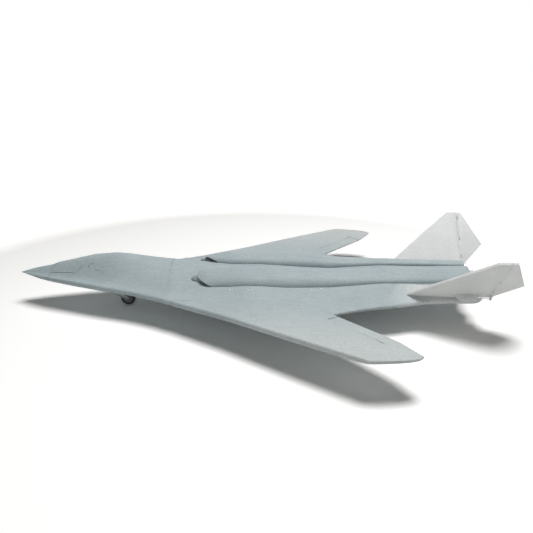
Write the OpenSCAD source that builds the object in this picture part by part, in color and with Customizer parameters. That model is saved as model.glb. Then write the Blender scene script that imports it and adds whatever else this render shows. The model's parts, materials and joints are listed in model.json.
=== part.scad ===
// Twin ducted-fan model jet with a chined, blended body and canted V tails.
// Stations run aft from the nose tip, butt lines to starboard, water lines up from the ground.
// The finished model is shifted so that its origin lies on the ground under mid length.

/* [Airframe] */
// Length from the nose tip to the end of the tail surfaces
overall_length = 960; // [950:1:970]
// Wall of every moulded skin
skin = 1.6; // [1.2:0.1:1.8]
// Height of the wing's mid plane at its root
wing_height = 59; // [58:0.5:60]
// Rise of the wing for each unit of span
dihedral = 0.05; // [0.04:0.005:0.06]
// Half width of the centre section, where the wing panels bolt on
root_butt_line = 125; // [124:0.5:126]

/* [Tail] */
// Lean of each fin away from vertical
tail_cant = 42; // [40:0.5:44]
// Thickness of the fin plates
fin_thick = 4.4; // [4:0.1:5]

/* [Elevons] */
// Chord of each elevon behind its hinge
elevon_chord = 26; // [22:1:28]
// Length of each elevon along its hinge
elevon_span = 120; // [110:1:124]

/* [Propulsion] */
// Inside radius of the fan housings
fan_radius = 25; // [24.5:0.1:25.2]
// Butt line of the fans
fan_butt_line = 50; // [49:0.5:50.5]
// Height of the fan axes
fan_height = 71.5; // [71:0.1:71.5]
// Blades on each rotor
blade_count = 6; // [5:1:8]

/* [Landing gear] */
// Diameter of the nose wheel
nose_wheel_d = 31; // [29:0.5:32]
// Diameter of the main wheels
main_wheel_d = 37; // [35:0.5:38]
// Station of the main wheels
main_station = 590; // [580:1:600]

/* [Linkages] */
// Radius of the hinge wires and pushrods
wire_r = 0.8; // [0.7:0.05:0.8]
// Radial clearance of a pin in its hole
pin_gap = 0.05; // [0.03:0.01:0.08]

/* [Hidden] */
$fn = 48;

skin_color = "#aebac1";
tail_color = "#d5dadd";
carbon = "#2b2d30";
steel = "#b8bcc0";
tough_plastic = "#3a3d40";

// Stations where the skins are joined
nose_joint = 66;
hatch_front = 69;
hatch_back = 316;
former_t = 3;
center_front = hatch_back + former_t;
center_back = 895;
hatch_gap = 0.3;
seat_gap = 0.4;
left = -1;
right = 1;

// Plan form: half width of the body's outer edge at each station
edge_line = [[0, 1], [20, 11], [45, 24], [80, 37], [127, 52], [190, 72], [250, 88],
    [302, 108], [336, root_butt_line], [713, root_butt_line], [755, 113], [800, 97],
    [850, 92], [912, 89]];
// Half width of the centre section; the booms fill what lies outboard of it
center_line = [[0, 1], [20, 11], [45, 24], [80, 37], [127, 52], [190, 72], [250, 88],
    [302, 108], [336, root_butt_line], [713, root_butt_line], [755, 60], [905, 58]];
// Profile: height of the spine and of the keel
spine_line = [[0, 69], [29, 77.5], [63, 84.5], [69, 86], [80, 91], [115, 99], [157, 109],
    [178, 111], [202, 113], [229, 111], [269, 105], [321, 98], [380, 91], [430, 87],
    [490, 88], [571, 84], [630, 82.5], [728, 92], [903, 94]];
keel_line = [[0, 67], [20, 62], [64, 52], [127, 44], [200, 38], [316, 33], [700, 33],
    [800, 42], [905, 50]];
// Height of the chine and half the thickness of its blunt edge ahead of the wing
chine_line = [[0, 68], [127, 66], [316, wing_height + 1], [400, wing_height]];
nose_edge_line = [[0, 1], [45, 3], [127, 4], [336, 4.8]];

// Leading and trailing edge of the wing panel by butt line
leading_line = [[125, 336], [133, 350], [190, 445], [229, 501], [277, 572], [328, 649],
    [337, 665]];
trailing_line = [[125, 713], [134, 686], [147, 657], [163, 627], [269, 722], [316, 748],
    [324, 741], [330, 726], [334, 705], [337, 672]];
half_thick_line = [[125, 11.5], [163, 9.4], [206, 7.6], [277, 5.8], [328, 4.9], [337, 3.6]];
leading_thick_line = [[125, 4.8], [277, 5], [328, 4.4], [337, 3.2]];
trailing_thick_line = [[125, 2.5], [163, 1.6], [337, 1.4]];
thickest = 0.35;

function edge(s) = lookup(s, edge_line);
function center_edge(s) = lookup(s, center_line);
function chine(s) = lookup(s, chine_line);

// Half thickness of the wing at fraction q of its chord
function wing_half(q, y) =
    let (most = lookup(y, half_thick_line), le = lookup(y, leading_thick_line),
         te = lookup(y, trailing_thick_line))
    q < thickest ? le + (most - le) * sin(90 * q / thickest)
                 : most + (te - most) * pow((q - thickest) / (1 - thickest), 1.3);
function root_chord_part(s) = (s - 336) / (713 - 336);
// Half thickness of the body's outer edge
function edge_half(s) =
    s <= 336 ? lookup(s, nose_edge_line)
    : s <= 713 ? wing_half(root_chord_part(s), root_butt_line)
    : lookup(s, [[713, 2.5], [755, 3], [912, 3.5]]);

// The spine is a narrow bell ahead of the intakes and a wide crown behind them
function bell(r) = r < 1 ? 0.5 + 0.5 * cos(180 * r) : 0;
function spine_shape(r, s) =
    let (narrow = lookup(s, [[380, 1], [470, 0]]))
    narrow * bell(r / 0.85) + (1 - narrow) * (1 - pow(min(r, 1), 1.6));
function top_z(y, s) =
    let (base = chine(s) + edge_half(s), r = abs(y) / edge(s))
    base + (lookup(s, spine_line) - base) * spine_shape(r, s);
function belly_z(y, s) =
    let (base = chine(s) - edge_half(s), r = min(abs(y) / edge(s), 1))
    base + (lookup(s, keel_line) - base) * (1 - pow(r, 2.2));

// Nacelle humps: centre line, half width and crest height by station
function nacelle_y(s) = lookup(s, [[546, fan_butt_line], [905, 25]]);
function nacelle_half(s) = lookup(s, [[373, 24], [388, 27], [440, 30.5], [546, 30.5],
    [640, 26], [700, 24.5], [905, 22.4]]);
function nacelle_crest(s) = lookup(s, [[373, 89.5], [379, 93], [388, 96], [402, 98.5],
    [420, 99.8], [479, 101], [546, 101], [620, 97.5], [668, 96.5], [728, 97], [800, 98.2],
    [905, 99.5]]);

// Spread of sample points across a section, closer together at the edges
half_spread = [for (i = [0:8]) sin(90 * i / 8)];
spread = concat([for (i = [8:-1:1]) -half_spread[i]], half_spread);

// Solid between matching upper and lower point rows, one ring per section
module loft(rings) {
    n = len(rings[0]);
    half = n / 2;
    last = len(rings) - 1;
    points = [for (ring = rings) each ring];
    // The diagonals mirror each other across the middle of the rows
    sides = [for (k = [0:last - 1], i = [0:n - 1])
        let (a = k * n + i, b = k * n + (i + 1) % n)
        each (i % half < (half - 1) / 2 ? [[a, b, b + n], [a, b + n, a + n]]
                                        : [[a, b, a + n], [b, b + n, a + n]])];
    function cap(first) = [for (i = [0:half - 2])
        let (a = first + i, d = first + n - 1 - i)
        each [[a, d, d - 1], [a, d - 1, a + 1]]];
    function flip(faces) = [for (f = faces) [f[2], f[1], f[0]]];
    polyhedron(points, concat(sides, cap(0), flip(cap(last * n))), convexity = 8);
}

// A ring from an upper row and a lower row, each running from port to starboard
function ring(upper, lower) = concat(upper, [for (i = [len(lower) - 1:-1:0]) lower[i]]);
function top_row(s, half, drop = 0) =
    [for (r = spread) [s, r * half, top_z(r * half, s) - drop]];
function belly_row(s, half, lift = 0) =
    [for (r = spread) [s, r * half, belly_z(r * half, s) + lift]];

// Lower shell: the belly with upright side walls that stop below the upper shell
module lower_shell(stations, rim_drop) {
    loft([for (s = stations)
        let (half = center_edge(s), rim = top_z(half, s) - rim_drop,
             inner = [for (r = spread)
                 [s, r * (half - skin), belly_z(r * (half - skin), s) + skin]],
             outer = belly_row(s, half))
        ring(concat([[s, -half + skin, rim]], inner, [[s, half - skin, rim]]),
             concat([[s, -half, rim]], outer, [[s, half, rim]]))]);
}

module upper_shell(stations) {
    loft([for (s = stations)
        let (half = center_edge(s)) ring(top_row(s, half), top_row(s, half, skin))]);
}

// Full section plate between two shells
module section_plate(s, thick) {
    loft([for (x = [s, s + thick])
        let (half = center_edge(x)) ring(top_row(x, half), belly_row(x, half))]);
}

module frame_shift() { translate([-overall_length / 2, 0, 0]) children(); }
module on_side(side) { if (side == left) mirror([0, 1, 0]) children(); else children(); }
module along_x(s, y, z) { translate([s, y, z]) rotate([0, 90, 0]) children(); }
// Extrudes an outline drawn in the local X and Z axes along local Y
module span_prism(y0, y1) {
    translate([0, y1, 0]) rotate([90, 0, 0]) linear_extrude(y1 - y0) children();
}
module span_cylinder(y0, y1, r, x = 0, z = 0) {
    translate([x, y1, z]) rotate([90, 0, 0]) cylinder(h = y1 - y0, r = r);
}

// ---- Body skins -------------------------------------------------------------
module nose_cone() {
    color(skin_color) frame_shift()
        loft([for (s = [0, 8, 20, 34, 50, nose_joint])
            let (half = center_edge(s)) ring(top_row(s, half), belly_row(s, half))]);
}

module nose_former() {
    color(skin_color) frame_shift() difference() {
        section_plate(nose_joint, hatch_front - nose_joint);
        along_x(nose_joint - 1, 0, 66) cylinder(h = 5, r = 8);
    }
}

module canopy_hatch() {
    color(skin_color) frame_shift()
        upper_shell([hatch_front + hatch_gap, 80, 98, 115, 136, 157, 178, 202, 229, 250, 269,
            302, hatch_back - hatch_gap]);
}

module forward_belly_pan() {
    color(skin_color) frame_shift() difference() {
        lower_shell([hatch_front, 90, 127, 158, 190, 220, 250, 276, 302, hatch_back],
            skin + hatch_gap);
        translate([steer_station, 0, 20]) cylinder(h = 40, r = 5);
    }
}

module canopy_former() {
    color(skin_color) frame_shift() difference() {
        section_plate(hatch_back, former_t);
        for (y = [-45, 0, 45]) along_x(hatch_back - 1, y, 60) cylinder(h = 5, r = 11);
    }
}

center_stations = [center_front, 336, 358, 380, 405, 430, 460, 490, 530, 571, 600, 630, 668,
    700, 713, 728, 755, 775, 800, 850, center_back];

// Plan outline of the opening under each nacelle
module nacelle_cutout() {
    ledge = 1.8;
    stations = [432, 440, 546, 668, 905];
    on_wide = [for (s = stations) [s, nacelle_y(s) + nacelle_half(s) - ledge]];
    on_narrow = [for (i = [len(stations) - 1:-1:0])
        let (s = stations[i]) [s, nacelle_y(s) - nacelle_half(s) + ledge]];
    translate([0, 0, 40]) linear_extrude(80) polygon(concat(on_wide, on_narrow));
}

module center_deck() {
    color(skin_color) frame_shift() difference() {
        upper_shell(center_stations);
        for (side = [left, right]) on_side(side) nacelle_cutout();
    }
}

module center_belly() {
    color(skin_color) frame_shift() difference() {
        lower_shell(center_stations, skin);
        translate([joiner_station, -140, joiner_height]) rotate([-90, 0, 0])
            cylinder(h = 280, r = joiner_r + 0.3);
        for (side = [left, right]) on_side(side)
            translate([main_station, main_leg_y, 20]) cylinder(h = 40, r = 3.4);
    }
}

// Arched cover over a fan, open at its front, its back and underneath
module nacelle_cover(side) {
    arc = [for (i = [0:12]) 180 * i / 12];
    // The arch is an ellipse over the fan and squarer over the thrust tube
    function squareness(s) = lookup(s, [[546, 1], [640, 0.8], [800, 0.6]]);
    // The mouth leans forward: its top overhangs its feet
    function lean(s) = lookup(s, [[373, 31], [388, 20], [440, 0]]);
    function arch(s0, inset) = [for (a = arc)
        let (s = s0 + lean(s0) * (1 - sin(a)),
             y = nacelle_y(s) - (nacelle_half(s) - inset) * cos(a),
             rise = nacelle_crest(s) - inset - seat_gap - top_z(nacelle_y(s), s))
        [s, y, top_z(y, s) + seat_gap + rise * pow(sin(a), squareness(s))]];
    color(skin_color) frame_shift() on_side(side)
        loft([for (s = [373, 379, 388, 398, 412, 440, 479, 512, 546, 590, 640, 700, 713, 728,
                        740, 755, 800, 850, 893])
            ring(arch(s, 0), arch(s, skin))]);
}

// Half cone ahead of the intake mouth, sitting on the deck
module inlet_cone(side) {
    y = 53;
    nose_line = [[361, 1], [363, 3.6], [367, 5.8], [374, 7.3], [386, 9.3], [402, 10.6]];
    steps = [for (i = [0:8]) 180 * i / 8];
    color(skin_color) frame_shift() on_side(side)
        loft([for (s = [for (p = nose_line) p[0]])
            let (r = lookup(s, nose_line))
            let (foot = function(a) top_z(y - r * cos(a), s) + seat_gap)
            ring([for (a = steps) [s, y - r * cos(a), foot(a) + 0.2 + r * sin(a)]],
                 [for (a = steps) [s, y - r * cos(a), foot(a)]])]);
}

// ---- Spar and bulkhead ---------------------------------------------------------
joiner_station = 455;
joiner_height = 60;
joiner_r = 4;
joiner_reach = 165;
joiner_length = 2 * joiner_reach;

module joiner_axis() {
    translate([joiner_station, 0, joiner_height]) rotate([-90, 0, 0]) children();
}

module wing_joiner_tube() {
    color(carbon) frame_shift() joiner_axis() difference() {
        cylinder(h = joiner_length, r = joiner_r, center = true);
        cylinder(h = joiner_length + 2, r = joiner_r - 1, center = true);
    }
}

module spar_carrier() {
    reach = root_butt_line - skin;
    color(tough_plastic) frame_shift() difference() {
        translate([joiner_station - 7, -reach, joiner_height - 6]) cube([14, 2 * reach, 12]);
        joiner_axis() cylinder(h = 300, r = joiner_r + pin_gap, center = true);
    }
}

bulkhead_station = 521;
module fan_bulkhead() {
    depth = 3;
    color(tough_plastic) frame_shift() difference() {
        loft([for (x = [bulkhead_station, bulkhead_station + depth])
            let (half = center_edge(x) - skin)
            ring([for (r = spread) [x, r * half, top_z(r * half, x) - skin - 0.2]],
                 [for (r = spread) [x, r * half, belly_z(r * half, x) + skin + 0.2]])]);
        for (side = [left, right])
            along_x(bulkhead_station - 1, side * fan_butt_line, fan_height)
                cylinder(h = depth + 2, r = fan_radius + 2.05, $fn = 96);
    }
}

// ---- Ducted fans ------------------------------------------------------------------
fan_front = 500;
fan_length = 45;
motor_r = 10.5;

module fan_housing(side) {
    vane_count = 4;
    color(tough_plastic) frame_shift() on_side(side)
        along_x(fan_front, fan_butt_line, fan_height) {
            difference() {
                union() {
                    cylinder(h = fan_length, r = fan_radius + 2, $fn = 96);
                    cylinder(h = 3, r = fan_radius + 2.4, $fn = 96);
                }
                translate([0, 0, -1]) cylinder(h = fan_length + 2, r = fan_radius, $fn = 96);
            }
            difference() {
                union() {
                    translate([0, 0, 22]) cylinder(h = 21, r = motor_r + 1.5);
                    for (i = [0:vane_count - 1]) rotate([0, 0, 45 + i * 360 / vane_count])
                        translate([motor_r + 0.8, -0.8, 24])
                            cube([fan_radius - motor_r, 1.6, 16]);
                }
                translate([0, 0, 17]) cylinder(h = 30, r = motor_r);
            }
        }
}

module fan_motors() {
    color(steel) frame_shift() for (side = [left, right]) on_side(side)
        along_x(fan_front, fan_butt_line, fan_height) {
            translate([0, 0, 20]) cylinder(h = 27, r = motor_r);
            translate([0, 0, 3]) cylinder(h = 18, r = 1.5);
        }
}

module fan_rotor(side) {
    color(tough_plastic) frame_shift() on_side(side)
        along_x(fan_front, fan_butt_line, fan_height) difference() {
            union() {
                translate([0, 0, 5]) cylinder(h = 12, r = 10);
                rotate([180, 0, 0]) translate([0, 0, -5]) cylinder(h = 9, r1 = 10, r2 = 3);
                intersection() {
                    for (i = [0:blade_count - 1]) rotate([0, 0, i * 360 / blade_count])
                        translate([8, 0, 11]) rotate([38, 0, 0])
                            translate([0, -6.5, -0.6]) cube([24, 13, 1.2]);
                    translate([0, 0, 2]) cylinder(h = 17, r = fan_radius - 0.6, $fn = 96);
                }
            }
            translate([0, 0, 1]) cylinder(h = 30, r = 1.5 + pin_gap);
        }
}

module thrust_tube(side) {
    start = 548.5;
    length = 355;
    throat = 92;
    throat_r = 20;
    exit_r = 18.9;
    wall = 1.2;
    yaw = -atan2(25, 357);
    pitch = atan2(5, 357);
    color(steel) frame_shift() on_side(side)
        translate([start, fan_butt_line, fan_height]) rotate([0, 90 - pitch, yaw])
            rotate_extrude($fn = 96)
                polygon([[fan_radius, 0], [throat_r, throat], [exit_r, length],
                         [exit_r + wall, length], [throat_r + wall, throat],
                         [fan_radius + wall, 0]]);
}

// ---- Electronics ---------------------------------------------------------------------
module speed_controllers() {
    color("#1f4f3a") frame_shift() for (side = [left, right])
        translate([330, side * 27 - 11, 38]) cube([46, 22, 9]);
}

battery_size = [100, 34, 24];
module battery_pack() {
    color("#3c5ea8") frame_shift() translate([212, -battery_size[1] / 2, 43.2]) cube(battery_size);
}

module battery_tray() {
    color(tough_plastic) frame_shift() {
        difference() {
            translate([208, -19, 41]) cube([106, 38, 2.2]);
            for (s = [240, 282]) translate([s - 6, -30, 40]) cube([12, 12.5, 5]);
        }
        for (s = [214, 258, 306], y = [-12, 12])
            translate([s, y, belly_z(15, s) + skin + seat_gap])
                cylinder(h = 41.2 - belly_z(15, s) - skin, r = 2.5);
    }
}

module receiver() {
    color("#202428") frame_shift() translate([106, -11, 51]) cube([42, 22, 12]);
}

// ---- Wing panels and elevons --------------------------------------------------------------
tip_lines = [root_butt_line, 134, 147, 163, 181, 206, 239, 269, 296, 316, 324, 330, 334, 337];
chord_parts = [0, 0.02, 0.07, 0.15, 0.25, 0.35, 0.5, 0.65, 0.8, 0.92, 1];
// The trailing edge runs straight from station 627 to 722
te_root = [627, 163];
te_tip = [722, 269];
te_sweep = atan2(te_tip[0] - te_root[0], te_tip[1] - te_root[1]);
wing_tilt = atan(dihedral);
// Middle of the elevon's hinge line, ahead of the trailing edge by the elevon's chord
elevon_te_mid = te_root + (elevon_span / 2 + 12) * [sin(te_sweep), cos(te_sweep)];
elevon_mid = elevon_te_mid + elevon_chord * [-cos(te_sweep), sin(te_sweep)];
elevon_nose_r = 2.8;
bay_gap = 0.6;
lug_half = 3;
elevon_lugs = [-45, 2, 45];
servo_back = 44;
servo_half = 3.8;
rod_overrun = 0.4;
horn_drop = 10;
link_plane = -22.5;
plate_half = 0.8;
rod_plane = link_plane + plate_half + wire_r + 0.9;

function wing_z(y) = wing_height + dihedral * (y - root_butt_line);

// Local axes of the elevon's hinge: X aft, Y out along the hinge, Z up
module at_elevon_hinge() {
    translate([elevon_mid[0], elevon_mid[1], wing_z(elevon_mid[1])])
        rotate([wing_tilt, 0, 0]) rotate([0, 0, -te_sweep]) children();
}

module wing_blank() {
    loft([for (y = [for (i = [len(tip_lines) - 1:-1:0]) tip_lines[i]])
        let (front = lookup(y, leading_line), chord = lookup(y, trailing_line) - front)
        ring([for (q = chord_parts) [front + q * chord, y, wing_z(y) + wing_half(q, y)]],
             [for (q = chord_parts) [front + q * chord, y, wing_z(y) - wing_half(q, y)]])]);
}

module wing_panel(side) {
    bay_half = elevon_span / 2 + bay_gap;
    color(skin_color) frame_shift() on_side(side) {
        difference() {
            wing_blank();
            at_elevon_hinge() {
                span_prism(-bay_half, bay_half) {
                    circle(r = elevon_nose_r + bay_gap);
                    translate([0, -20]) square([60, 40]);
                }
                translate([-servo_back - 15, -48, -20]) cube([22, 22, 20 + servo_half + 0.15]);
                translate([-servo_back - 8, -27, -20]) cube([16, 12, 20 + servo_half]);
                translate([-4, link_plane - 3, -20]) cube([6, 6, 18.5]);
                span_cylinder(-bay_half - 5, bay_half + 5, wire_r + pin_gap);
            }
            joiner_axis() cylinder(h = joiner_length + 1, r = joiner_r + pin_gap, center = true);
        }
        at_elevon_hinge() for (y = elevon_lugs) difference() {
            span_prism(y - lug_half, y + lug_half) {
                circle(r = elevon_nose_r - 0.3);
                translate([-4.2, -1.8]) square([4.2, 3.6]);
            }
            span_cylinder(y - 5, y + 5, wire_r + pin_gap);
        }
    }
}

module elevon(side) {
    half = elevon_span / 2;
    color(skin_color) frame_shift() on_side(side) at_elevon_hinge() difference() {
        span_prism(-half, half) {
            circle(r = elevon_nose_r);
            polygon([[0, -elevon_nose_r], [elevon_chord, -1.3],
                     [elevon_chord, 1.3], [0, elevon_nose_r]]);
        }
        span_cylinder(-half - 1, half + 1, wire_r + pin_gap);
        for (y = elevon_lugs) translate([-8, y - lug_half - 0.5, -8])
            cube([8 + elevon_nose_r + 0.3, 2 * lug_half + 1, 16]);
    }
}

module elevon_horn(side) {
    color(skin_color) frame_shift() on_side(side) at_elevon_hinge() {
        difference() {
            span_prism(link_plane - plate_half, link_plane + plate_half) {
                polygon([[-1.9, -horn_drop], [1.9, -horn_drop], [8, -3.2], [0.5, -3.2]]);
                translate([0, -horn_drop]) circle(r = 2.2);
            }
            span_cylinder(link_plane - 2, link_plane + 2, wire_r + 0.3, 0, -horn_drop);
        }
        translate([0.5, link_plane - 2.6, -3.6]) cube([8.5, 5.2, 0.8]);
    }
}

module wing_servos() {
    color("#2f4f8f") frame_shift() for (side = [left, right]) on_side(side) at_elevon_hinge() {
        translate([-servo_back - 14, -47, -servo_half]) cube([20, 19, 2 * servo_half]);
        span_cylinder(-28.5, link_plane + plate_half, 2, -servo_back, 0);
    }
}

module elevon_servo_arm(side) {
    color("white") frame_shift() on_side(side) at_elevon_hinge()
        translate([-servo_back, 0, 0]) difference() {
            span_prism(link_plane - plate_half, link_plane + plate_half) {
                circle(r = 3.2);
                translate([-1.7, -horn_drop]) square([3.4, horn_drop]);
                translate([0, -horn_drop]) circle(r = 2.2);
            }
            span_cylinder(link_plane - 2, link_plane + 2, wire_r + pin_gap, 0, -horn_drop);
            span_cylinder(link_plane - 2, link_plane + 2, 2 + pin_gap);
        }
}

module elevon_pushrod(side) {
    color(steel) frame_shift() on_side(side) at_elevon_hinge() {
        translate([-servo_back - wire_r - rod_overrun, rod_plane, -horn_drop])
            rotate([0, 90, 0]) cylinder(h = servo_back + 2 * (wire_r + rod_overrun), r = wire_r);
        for (x = [-servo_back, 0])
            span_cylinder(link_plane - plate_half - 1, rod_plane, wire_r, x, -horn_drop);
    }
}

// ---- Tail booms, fins and ruddervators ---------------------------------------------------------
fin_root = [84, 68];
hinge_station = 913.8;
fin_height = 126.6;
fin_lead = -155.3;
rudder_lugs = [20, 62, 112];
rudder_nose_r = 2.2;
tail_link_z = 8;
tail_horn_y = 9;
tail_servo_x = -50;
tail_rod_z = tail_link_z + plate_half + wire_r + 0.9;

// Local axes of a fin's hinge: X aft, Y out square to the fin, Z up along the hinge
module at_tail_hinge() {
    translate([hinge_station, fin_root[0], fin_root[1]]) rotate([-tail_cant, 0, 0]) children();
}

module tail_boom(side) {
    across = [0, 0.15, 0.35, 0.55, 0.75, 0.9, 1];
    color(skin_color) frame_shift() on_side(side) difference() {
        loft([for (s = [722, 738, 755, 775, 800, 850, 880, 908])
            let (inner = center_edge(s), wide = edge(s) - inner)
            ring([for (q = across) [s, inner + q * wide, top_z(inner + q * wide, s)]],
                 [for (q = across) [s, inner + q * wide, belly_z(inner + q * wide, s)]])]);
        at_tail_hinge() {
            translate([fin_lead - 0.1, -fin_thick / 2 - 0.05, -5])
                cube([-fin_lead - 18, fin_thick + 0.1, 30]);
            translate([tail_servo_x - 6.2, -4.4, -10.2]) cube([20.4, 8.8, 30]);
            translate([tail_servo_x - 6.2, -4.4, 0]) cube([48, 20, 30]);
        }
    }
}

module tail_fin(side) {
    back = -rudder_nose_r - 0.5;
    color(tail_color) frame_shift() on_side(side) at_tail_hinge() difference() {
        union() {
            difference() {
                translate([0, fin_thick / 2, 0]) rotate([90, 0, 0]) linear_extrude(fin_thick)
                    polygon([[fin_lead, 0], [fin_lead, -4.8], [-19, -4.8], [-19, 0.8], [back, 0.8],
                             [back, fin_height], [892 - hinge_station, fin_height]]);
                translate([tail_servo_x - 6.2, -5, -10.2]) cube([20.4, 10, 16]);
                translate([tail_servo_x - 5, -5, 5]) cube([10, 10, 6.5]);
            }
            for (z = rudder_lugs) {
                translate([0, 0, z - lug_half]) cylinder(h = 2 * lug_half, r = rudder_nose_r - 0.2);
                translate([back - 0.5, -1.6, z - lug_half]) cube([0.5 - back, 3.2, 2 * lug_half]);
            }
        }
        translate([0, 0, -1]) cylinder(h = fin_height + 2, r = wire_r + pin_gap);
    }
}

module ruddervator(side) {
    color(tail_color) frame_shift() on_side(side) at_tail_hinge() difference() {
        union() {
            translate([0, 0, 0.8]) cylinder(h = fin_height - 0.8, r = rudder_nose_r);
            translate([0, rudder_nose_r - 0.2, 0]) rotate([90, 0, 0])
                linear_extrude(2 * rudder_nose_r - 0.4)
                polygon([[0, 0.8], [2.6, 0.8], [overall_length - hinge_station, 50],
                         [923 - hinge_station, fin_height], [0, fin_height]]);
        }
        translate([0, 0, -1]) cylinder(h = fin_height + 2, r = wire_r + pin_gap);
        for (z = rudder_lugs) translate([-8, -8, z - lug_half - 0.5])
            cube([8 + rudder_nose_r + 0.3, 16, 2 * lug_half + 1]);
    }
}

module ruddervator_horn(side) {
    color(skin_color) frame_shift() on_side(side) at_tail_hinge() difference() {
        translate([0, 0, tail_link_z - plate_half]) linear_extrude(2 * plate_half) {
            polygon([[-1.8, tail_horn_y], [1.8, tail_horn_y], [6.5, rudder_nose_r - 0.2],
                     [0.9, rudder_nose_r - 0.2]]);
            translate([0, tail_horn_y]) circle(r = 2);
        }
        translate([0, tail_horn_y, tail_link_z - 2]) cylinder(h = 4, r = wire_r + 0.3);
    }
}

module tail_servos() {
    color("#2f4f8f") frame_shift() for (side = [left, right]) on_side(side) at_tail_hinge() {
        translate([tail_servo_x - 6, -4.2, -10]) cube([20, 8.4, 15.4]);
        translate([tail_servo_x, 0, 5]) cylinder(h = tail_link_z + plate_half - 5, r = 1.6);
    }
}

module tail_servo_arm(side) {
    color("white") frame_shift() on_side(side) at_tail_hinge()
        translate([tail_servo_x, 0, tail_link_z - plate_half]) difference() {
            linear_extrude(2 * plate_half) {
                circle(r = 3);
                translate([-1.5, 0]) square([3, tail_horn_y]);
                translate([0, tail_horn_y]) circle(r = 2);
            }
            translate([0, tail_horn_y, -1]) cylinder(h = 4, r = wire_r + pin_gap);
            translate([0, 0, -1]) cylinder(h = 4, r = 1.6 + pin_gap);
        }
}

module tail_pushrod(side) {
    color(steel) frame_shift() on_side(side) at_tail_hinge() {
        translate([tail_servo_x - wire_r - rod_overrun, tail_horn_y, tail_rod_z])
            rotate([0, 90, 0])
            cylinder(h = -tail_servo_x + 2 * (wire_r + rod_overrun), r = wire_r);
        for (x = [tail_servo_x, 0]) translate([x, tail_horn_y, tail_link_z - plate_half - 1])
            cylinder(h = tail_rod_z - tail_link_z + plate_half + 1, r = wire_r);
    }
}

// Slender cover over each tail servo's arm, open at its back for the rod
module actuator_fairings() {
    low = 0.6;
    high = 15;
    function cover_half(x) = lookup(x, [[-68, 0.8], [-60, 8], [-50, 13], [-38, 13.4], [-26, 12.6]]);
    function cover_ring(x, grow) = let (out = cover_half(x) - grow) ring(
        [[x, fin_thick / 2 + 0.02, low], [x, fin_thick / 2 + out * 0.8, low],
         [x, fin_thick / 2 + out, low + (high - low) * 0.5],
         [x, fin_thick / 2 + out * 0.8, high], [x, fin_thick / 2 + 0.02, high]],
        [[x, fin_thick / 2 + 0.02, low + grow], [x, fin_thick / 2 + out * 0.8 - grow, low + grow],
         [x, fin_thick / 2 + out - grow, low + (high - low) * 0.5],
         [x, fin_thick / 2 + out * 0.8 - grow, high - grow], [x, fin_thick / 2 + 0.02, high - grow]]);
    color(skin_color) frame_shift() for (side = [left, right]) on_side(side) at_tail_hinge()
        difference() {
            loft([for (x = [-62, -56, -50, -38, -26]) cover_ring(x, 1)]);
            translate([tail_servo_x - 6.4, -4.5, -1]) cube([20.8, 9, 6.8]);
        }
}

module hinge_wires() {
    reach = elevon_span / 2 + 4;
    color(steel) frame_shift() for (side = [left, right]) on_side(side) {
        at_elevon_hinge() span_cylinder(-reach, reach, wire_r);
        at_tail_hinge() translate([0, 0, 2]) cylinder(h = fin_height - 4, r = wire_r);
    }
}

// ---- Landing gear --------------------------------------------------------------------------------
steer_station = 190;
nose_axle_station = 217;
leg_pin_r = 2.5;
axle_r = 1.5;
mount_floor = 43;
mount_top = 58;
main_leg_y = 84;
main_wheel_y = 96;
main_axle_r = 2;
wheel_width = 12;

module nose_gear_mount() {
    color(tough_plastic) frame_shift() difference() {
        union() {
            translate([steer_station - 14, -12, mount_floor]) cube([28, 24, 3]);
            translate([steer_station, 0, mount_floor]) cylinder(h = mount_top - mount_floor, r = 6);
            for (y = [-9, 6.4]) translate([steer_station - 14, y, mount_floor])
                cube([24, 2.6, 33]);
        }
        translate([steer_station, 0, mount_floor - 1])
            cylinder(h = 30, r = leg_pin_r + pin_gap);
        for (x = [-11, 11], y = [-10.7, 10.7])
            translate([steer_station + x, y, mount_floor - 1]) cylinder(h = 6, r = 0.9);
    }
}

module steering_servo() {
    color("#2f4f8f") frame_shift() {
        translate([steer_station - 6, -6, mount_top + 4]) cube([23, 12, 20]);
        translate([steer_station, 0, mount_top + 1]) cylinder(h = 4, r = 2);
    }
}

module nose_leg() {
    axle_z = nose_wheel_d / 2;
    fork_in = 5.2;
    knee = [steer_station, 34];
    color(steel) frame_shift() {
        difference() {
            union() {
                translate([steer_station, 0, 30]) cylinder(h = mount_top - 30, r = leg_pin_r);
                translate([steer_station, 0, 30]) cylinder(h = 7, r = 4.2);
                translate([steer_station - 4, -fork_in - 2.4, 27.5])
                    cube([8, 2 * fork_in + 4.8, 4.5]);
                for (y = [-fork_in - 2.4, fork_in]) translate([0, y + 2.4, 0])
                    rotate([90, 0, 0]) linear_extrude(2.4)
                    polygon([[knee[0] - 4, knee[1] - 3], [knee[0] + 4, knee[1] - 2.5],
                             [nose_axle_station + 3.5, axle_z + 2.5],
                             [nose_axle_station + 2, axle_z - 3.5],
                             [nose_axle_station - 3, axle_z - 3.5]]);
            }
            translate([nose_axle_station, 12, axle_z]) rotate([90, 0, 0])
                cylinder(h = 24, r = axle_r - 0.4);
        }
        translate([nose_axle_station, fork_in + 2.4, axle_z]) rotate([90, 0, 0])
            cylinder(h = 2 * fork_in + 4.8, r = axle_r);
    }
}

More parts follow.
